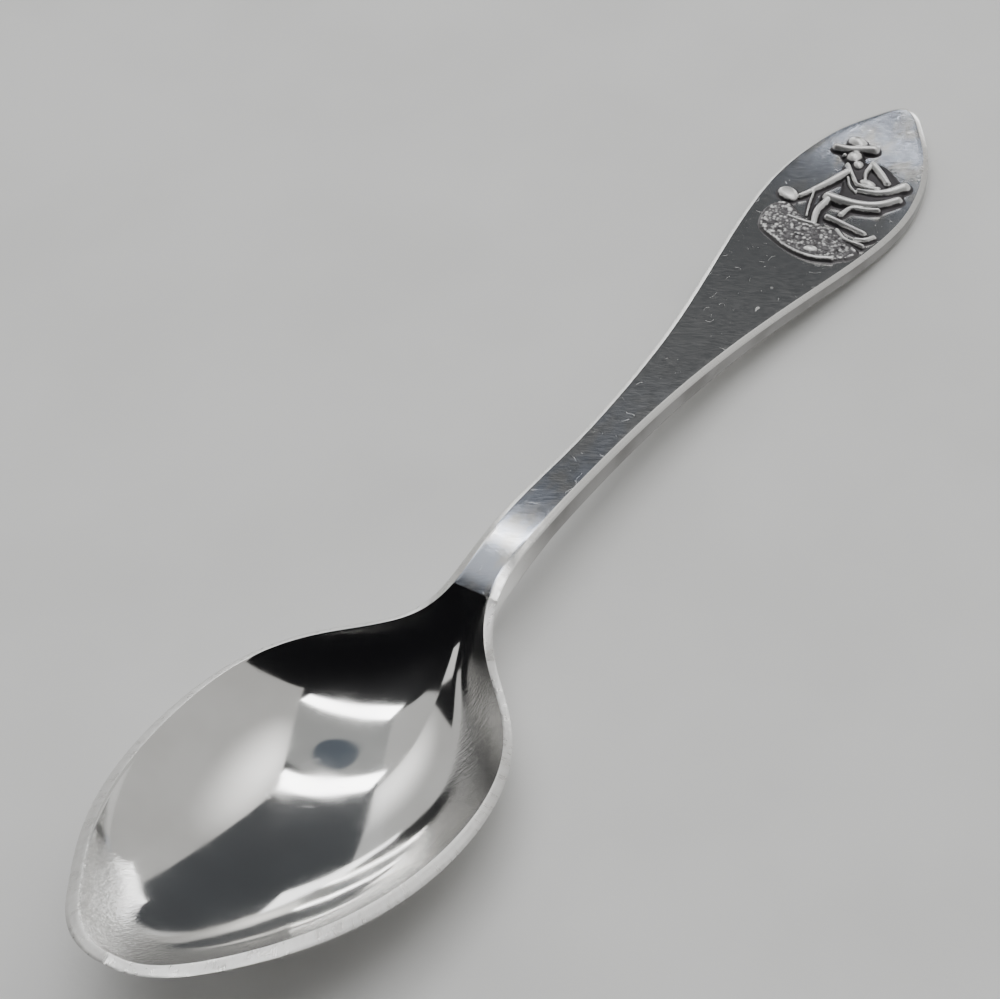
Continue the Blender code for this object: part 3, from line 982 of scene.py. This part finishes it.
def build_floor():
    data = bpy.data.meshes.new("floor")
    corners = [(-FLOOR, -FLOOR, 0), (FLOOR, -FLOOR, 0), (FLOOR, FLOOR, 0), (-FLOOR, FLOOR, 0)]
    data.from_pydata(corners, [], [(0, 1, 2, 3)])
    data.materials.append(floor_look())
    link("floor", data)


def panel_light(name, centre, facing, along, size, glow, colour=WHITE):
    """A soft rectangle of light with its long side along a direction, facing another."""
    data = bpy.data.lights.new(name, "AREA")
    data.shape = "RECTANGLE"
    data.size, data.size_y = size
    data.energy = glow * size[0] * size[1] * math.pi
    data.color = colour
    back = -Vector(facing).normalized()
    side = Vector(along)
    side = (side - back * side.dot(back)).normalized()
    turn = Matrix((side, back.cross(side), back)).transposed().to_4x4()
    made = link(name, data)
    made.matrix_world = Matrix.Translation(Vector(centre)) @ turn
    return made


def build_ceiling():
    """The tent's pale roof between the two tubes, with the round opening in it."""
    corners = [Vector((x, y)) for x, y in ROOF_CORNERS]
    middle = Vector(OPENING_CENTRE)
    across, up = Vector(OPENING_ACROSS), Vector(OPENING_ALONG)
    angles = [math.atan2(*(corner - middle).yx) for corner in corners]
    angles = sorted(angles + [math.radians(k * 7.5) - math.pi for k in range(48)])
    verts = []
    for angle in angles:
        ray = Vector((math.cos(angle), math.sin(angle)))
        reach = 9.0
        for a, b in zip(corners, corners[1:] + corners[:1]):
            run = b - a
            cross = ray.x * run.y - ray.y * run.x
            if abs(cross) < 1e-9:
                continue
            distance = ((a.x - middle.x) * run.y - (a.y - middle.y) * run.x) / cross
            share = ((a.x - middle.x) * ray.y - (a.y - middle.y) * ray.x) / cross
            if distance > 0 and -1e-6 <= share <= 1 + 1e-6:
                reach = min(reach, distance)
        share_across = (ray.x * up.y - ray.y * up.x) / (across.x * up.y - across.y * up.x)
        share_up = (across.x * ray.y - across.y * ray.x) / (across.x * up.y - across.y * up.x)
        opening = ray / math.hypot(share_across, share_up)
        verts.append((*(middle + opening), TENT_HEIGHT))
        verts.append((*(middle + ray * reach), TENT_HEIGHT))
    count = len(angles)
    faces = []
    for k in range(count):
        following = 2 * ((k + 1) % count)
        faces.append((2 * k, 2 * k + 1, following + 1, following))
    faces.append(tuple(range(0, 2 * count, 2)))
    (far_x, far_y), (near_x, near_y) = ROOF_CORNERS[2:]
    wing = ((near_x, near_y), (far_x, far_y), (far_x + 0.03, ROOF_END_Y),
            (WING_X, ROOF_END_Y), (WING_X, WING_START_Y))
    faces.append(tuple(range(len(verts), len(verts) + len(wing))))
    verts += [(x, y, TENT_HEIGHT + 0.001) for x, y in wing]
    data = bpy.data.meshes.new("tent_roof")
    data.from_pydata(verts, [], faces)
    for name, colour, glow in (("roof_cloth", ROOF_COLOUR, ROOF_GLOW),
                               ("opening", OPENING_COLOUR, OPENING_GLOW),
                               ("side_cloth", CREAM, CLOTH_GLOW)):
        look = Look(name, (0.0, 0.0, 0.0), 1.0, 0.0)
        look.shader.inputs["Emission Color"].default_value = (*colour, 1)
        look.shader.inputs["Emission Strength"].default_value = glow
        look.shader.inputs["Specular IOR Level"].default_value = 0.0
        data.materials.append(look.material)
    data.polygons[-2].material_index = 1
    data.polygons[-1].material_index = 2
    link("tent_roof", data)


def build_wall(name, start, end, hot_spot, colour):
    """A cloth wall of the tent, brighter round the spot where a tube ends close to it."""
    data = bpy.data.meshes.new(name)
    corners = [(*start, WALL_FOOT), (*end, WALL_FOOT), (*end, TENT_HEIGHT), (*start, TENT_HEIGHT)]
    data.from_pydata(corners, [], [(0, 1, 2, 3)])
    look = Look(name, (0.0, 0.0, 0.0), 1.0, 0.0)
    gap = look.gap_from(hot_spot)
    look.shader.inputs["Emission Color"].default_value = (*colour, 1)
    look.shader.inputs["Specular IOR Level"].default_value = 0.0
    glow = look.span(gap, 0.0, HOT_REACH, CLOTH_GLOW + HOT_GLOW, CLOTH_GLOW)
    look.links.new(glow, look.shader.inputs["Emission Strength"])
    data.materials.append(look.material)
    made = link(name, data)
    made.visible_camera = False


def build_light():
    world = bpy.data.worlds.new("world")
    bpy.context.scene.world = world
    world.use_nodes = True
    world.node_tree.nodes["Background"].inputs["Color"].default_value = (*NIGHT, 1)
    down = (0, 0, -1)
    panel_light("near_tube", (0.075, -0.075, TUBE_HEIGHT), down, (0.02, 1, 0),
                (0.38, 0.042), TUBE_GLOW)
    panel_light("far_tube", (0.312, 0.149, TUBE_HEIGHT), down, (-0.16, 1, 0),
                (0.348, 0.062), TUBE_GLOW)
    panel_light("right_cloth_end", (0.01, ROOF_END_Y, 0.1), (0, -1, 0), (1, 0, 0), (0.09, 0.2),
                CLOTH_GLOW, CREAM)
    panel_light("side_cloth", (-0.13, 0.34, 0.375), (0.13, -0.34, -0.375), (1, 0.3, 0),
                (0.23, 0.14), SIDE_GLOW, CREAM)
    panel_light("dim_gap", (0.36, 0.168, 0.225), (-0.92, -0.4, 0), (-0.4, 0.92, 0), (0.42, 0.45),
                GAP_GLOW, GAP_COLOUR)
    panel_light("low_tube", (0.3, 0.32, 0.055), (-0.3, -0.32, -0.055), (-0.32, 0.3, 0),
                (0.13, 0.105), LOW_GLOW)
    panel_light("tip_tube", (0.32, -0.005, 0.03), (-1, 0, 0), (0, 1, 0), (0.13, 0.055), LOW_GLOW)
    fill = panel_light("floor_fill", (0.0, 0.0, 0.9), down, (1, 0, 0), (0.7, 0.7), FILL_GLOW)
    fill.visible_glossy = False
    build_wall("left_cloth", (0.031, -0.339), (0.365, 0.019), (0.275, -0.077, 0.36), WARM)
    build_wall("right_cloth", (0.055, ROOF_END_Y), (0.325, ROOF_END_Y),
               (0.245, ROOF_END_Y, 0.38), CREAM)
    build_ceiling()


def main():
    whole = soften_edges(silver_mesh())
    bowl = split_piece(whole, "silver_bowl", [HOLLOW, BOWL_BAND, BOWL_OUTSIDE])
    handle = split_piece(whole, "silver_handle", [FRONT, HANDLE_BAND, HANDLE_OUTSIDE])
    panner = field_piece("panner", panner_field())
    pan = field_piece("gold_pan", pan_field())
    gravel = field_piece("gravel", gravel_field(), 0.36)
    bowl_looks = (hollow_look(), band_look(), outside_look("bowl_outside"))
    handle_looks = (front_look(), bevel_look(), outside_look("handle_outside", True))
    figure_looks = (relief_look("struck_figure", 5.0, TARNISH_AND_SHADE),)
    gravel_looks = (relief_look("struck_gravel", 8.0, TARNISH_AND_SHADE_THIN),)
    pieces = (
        (bowl, "bowl", "polished_silver_bowl", bowl_looks),
        (handle, "handle", "polished_silver_handle", handle_looks),
        (panner, "relief_panner", "satin_silver_relief", figure_looks),
        (pan, "relief_pan", "satin_silver_relief", figure_looks),
        (gravel, "relief_gravel", "satin_silver_gravel", gravel_looks),
    )
    for piece, node, slot, looks in pieces:
        for look in looks:
            piece.data.materials.append(look)
        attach(piece, "root")
        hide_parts(node)
    build_floor()
    build_light()
    build_camera()


main()
